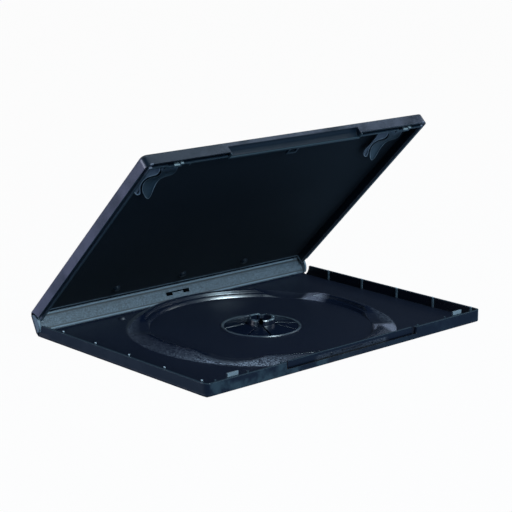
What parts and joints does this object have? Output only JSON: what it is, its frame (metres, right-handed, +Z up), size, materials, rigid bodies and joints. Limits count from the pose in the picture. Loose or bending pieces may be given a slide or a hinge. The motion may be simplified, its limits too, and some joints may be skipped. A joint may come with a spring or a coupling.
{
  "type": "dvd case",
  "caption": "Hinged plastic keep case for an optical disc, part open: tray with disc ring and push hub, spine, and cover with booklet clips.",
  "frame": {"origin": "on the axis of the disc hub, on the underside of the tray", "axes": "X along the spine, +Y from the thumb edge towards the spine, Z up from the table with the tray lying flat"},
  "size_m": [0.19, 0.1384, 0.105],
  "materials": {
    "black_shell": "satin",
    "spine_shell": "fine grain"
  },
  "bodies": {
    "tray": {"base_tray": "black_shell", "hinge_web_tray": "spine_shell"},
    "spine": {"spine_panel": "spine_shell"},
    "cover": {"cover": "black_shell", "hinge_web_cover": "spine_shell"},
    "leaf_1": {"hub_leaf_1": "black_shell"},
    "grip_1": {"hub_grip_1": "black_shell"},
    "leaf_2": {"hub_leaf_2": "black_shell"},
    "grip_2": {"hub_grip_2": "black_shell"},
    "leaf_3": {"hub_leaf_3": "black_shell"},
    "grip_3": {"hub_grip_3": "black_shell"},
    "leaf_4": {"hub_leaf_4": "black_shell"},
    "grip_4": {"hub_grip_4": "black_shell"},
    "left_clip_outer": {"left_clip_outer": "black_shell"},
    "left_clip_inner": {"left_clip_inner": "black_shell"},
    "right_clip_outer": {"right_clip_outer": "black_shell"},
    "right_clip_inner": {"right_clip_inner": "black_shell"}
  },
  "joints": [
    {"name": "tray_hinge", "type": "hinge", "parent": "tray", "child": "spine", "pos_m": [0, 0.0658, 0.0005], "axis": [1, 0, 0], "range_deg": [-63.5, 26.5], "deforming": ["hinge_web_tray"]},
    {"name": "cover_hinge", "type": "hinge", "parent": "spine", "child": "cover", "pos_m": [0, 0.07093, 0.01079], "axis": [1, 0, 0], "range_deg": [-71.5, 18.5], "deforming": ["hinge_web_cover"]},
    {"name": "press_leaf_1", "type": "hinge", "parent": "tray", "child": "leaf_1", "pos_m": [0.01373, 0.01373, 0.0009], "axis": [0.7071, -0.7071, 0], "range_deg": [0, 5], "stiffness_Nm_per_rad": 0.2},
    {"name": "press_grip_1", "type": "hinge", "parent": "tray", "child": "grip_1", "pos_m": [0, 0.01942, 0.0009], "axis": [1, 0, 0], "range_deg": [0, 5], "stiffness_Nm_per_rad": 0.2},
    {"name": "press_leaf_2", "type": "hinge", "parent": "tray", "child": "leaf_2", "pos_m": [-0.01373, 0.01373, 0.0009], "axis": [0.7071, 0.7071, 0], "range_deg": [0, 5], "stiffness_Nm_per_rad": 0.2},
    {"name": "press_grip_2", "type": "hinge", "parent": "tray", "child": "grip_2", "pos_m": [-0.01942, 0, 0.0009], "axis": [0, 1, 0], "range_deg": [0, 5], "stiffness_Nm_per_rad": 0.2},
    {"name": "press_leaf_3", "type": "hinge", "parent": "tray", "child": "leaf_3", "pos_m": [-0.01373, -0.01373, 0.0009], "axis": [-0.7071, 0.7071, 0], "range_deg": [0, 5], "stiffness_Nm_per_rad": 0.2},
    {"name": "press_grip_3", "type": "hinge", "parent": "tray", "child": "grip_3", "pos_m": [0, -0.01942, 0.0009], "axis": [-1, 0, 0], "range_deg": [0, 5], "stiffness_Nm_per_rad": 0.2},
    {"name": "press_leaf_4", "type": "hinge", "parent": "tray", "child": "leaf_4", "pos_m": [0.01373, -0.01373, 0.0009], "axis": [-0.7071, -0.7071, 0], "range_deg": [0, 5], "stiffness_Nm_per_rad": 0.2},
    {"name": "press_grip_4", "type": "hinge", "parent": "tray", "child": "grip_4", "pos_m": [0.01942, 0, 0.0009], "axis": [0, -1, 0], "range_deg": [0, 5], "stiffness_Nm_per_rad": 0.2},
    {"name": "left_clip_outer_bend", "type": "hinge", "parent": "cover", "child": "left_clip_outer", "pos_m": [-0.0778, -0.0232, 0.10054], "axis": [-1, 0, 0], "range_deg": [-3, 8], "stiffness_Nm_per_rad": 0.15},
    {"name": "left_clip_inner_bend", "type": "hinge", "parent": "cover", "child": "left_clip_inner", "pos_m": [-0.0778, -0.02221, 0.09955], "axis": [-1, 0, 0], "range_deg": [-3, 8], "stiffness_Nm_per_rad": 0.15},
    {"name": "right_clip_outer_bend", "type": "hinge", "parent": "cover", "child": "right_clip_outer", "pos_m": [0.0762, -0.0232, 0.10054], "axis": [-1, 0, 0], "range_deg": [-3, 8], "stiffness_Nm_per_rad": 0.15},
    {"name": "right_clip_inner_bend", "type": "hinge", "parent": "cover", "child": "right_clip_inner", "pos_m": [0.0762, -0.02221, 0.09955], "axis": [-1, 0, 0], "range_deg": [-3, 8], "stiffness_Nm_per_rad": 0.15}
  ],
  "couplings": [
    {"joint": "press_grip_1", "follows": "press_leaf_1", "ratio": 1},
    {"joint": "press_leaf_2", "follows": "press_leaf_1", "ratio": 1},
    {"joint": "press_grip_2", "follows": "press_leaf_1", "ratio": 1},
    {"joint": "press_leaf_3", "follows": "press_leaf_1", "ratio": 1},
    {"joint": "press_grip_3", "follows": "press_leaf_1", "ratio": 1},
    {"joint": "press_leaf_4", "follows": "press_leaf_1", "ratio": 1},
    {"joint": "press_grip_4", "follows": "press_leaf_1", "ratio": 1}
  ]
}
